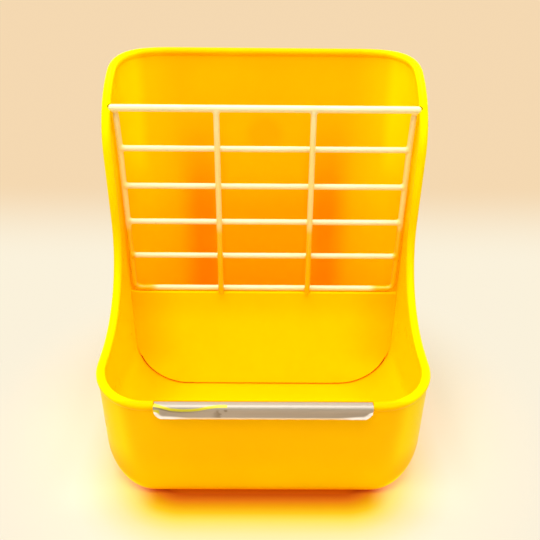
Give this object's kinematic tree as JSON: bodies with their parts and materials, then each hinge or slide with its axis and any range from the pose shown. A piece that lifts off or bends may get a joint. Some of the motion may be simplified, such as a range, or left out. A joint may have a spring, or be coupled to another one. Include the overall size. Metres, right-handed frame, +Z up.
{
  "type": "hay feeder box",
  "caption": "Moulded small-animal feeder: a food bowl with a steel chew guard in front of an open-topped hay pocket, a hinged wire grille between them and a cage clamp behind.",
  "frame": {"origin": "on the surface that the feeder stands on, under the middle of its whole length and width, chew guard and rear clamp counted", "axes": "+Z up, -Y towards the food bowl at the front, +X to the right seen from the front"},
  "size_m": [0.1686, 0.1598, 0.201],
  "materials": {
    "yellow_plastic": "gloss",
    "white_coating": "satin",
    "bright_steel": "bright",
    "zinc_steel": "zinc plated"
  },
  "bodies": {
    "feeder": {"feeder_body": "yellow_plastic", "chew_guard": "bright_steel", "clamp_stud": "zinc_steel"},
    "grille": {"grille_axle_bar": "white_coating", "grille_frame_wire": "white_coating", "grille_crossbar_1": "white_coating", "grille_crossbar_2": "white_coating", "grille_crossbar_3": "white_coating", "grille_crossbar_4": "white_coating", "grille_upright_1": "white_coating", "grille_upright_2": "white_coating"},
    "clamp": {"clamp_disc": "yellow_plastic", "clamp_washer": "zinc_steel"},
    "wing_nut": {"clamp_wing_nut": "zinc_steel"}
  },
  "joints": [
    {"name": "grille_swing", "type": "hinge", "parent": "feeder", "child": "grille", "pos_m": [0, 0.0128, 0.1779], "axis": [-1, 0, 0], "range_deg": [0, 232]},
    {"name": "clamp_slide", "type": "slide", "parent": "feeder", "child": "clamp", "axis": [0, 1, 0], "range_m": [0, 0.006]},
    {"name": "wing_nut_turn", "type": "hinge", "parent": "clamp", "child": "wing_nut", "pos_m": [0, 0.07, 0.1521], "axis": [0, 1, 0], "range_deg": [0, 720]}
  ],
  "couplings": [
    {"joint": "wing_nut_turn", "follows": "clamp_slide", "rad_per_m": 2094}
  ]
}
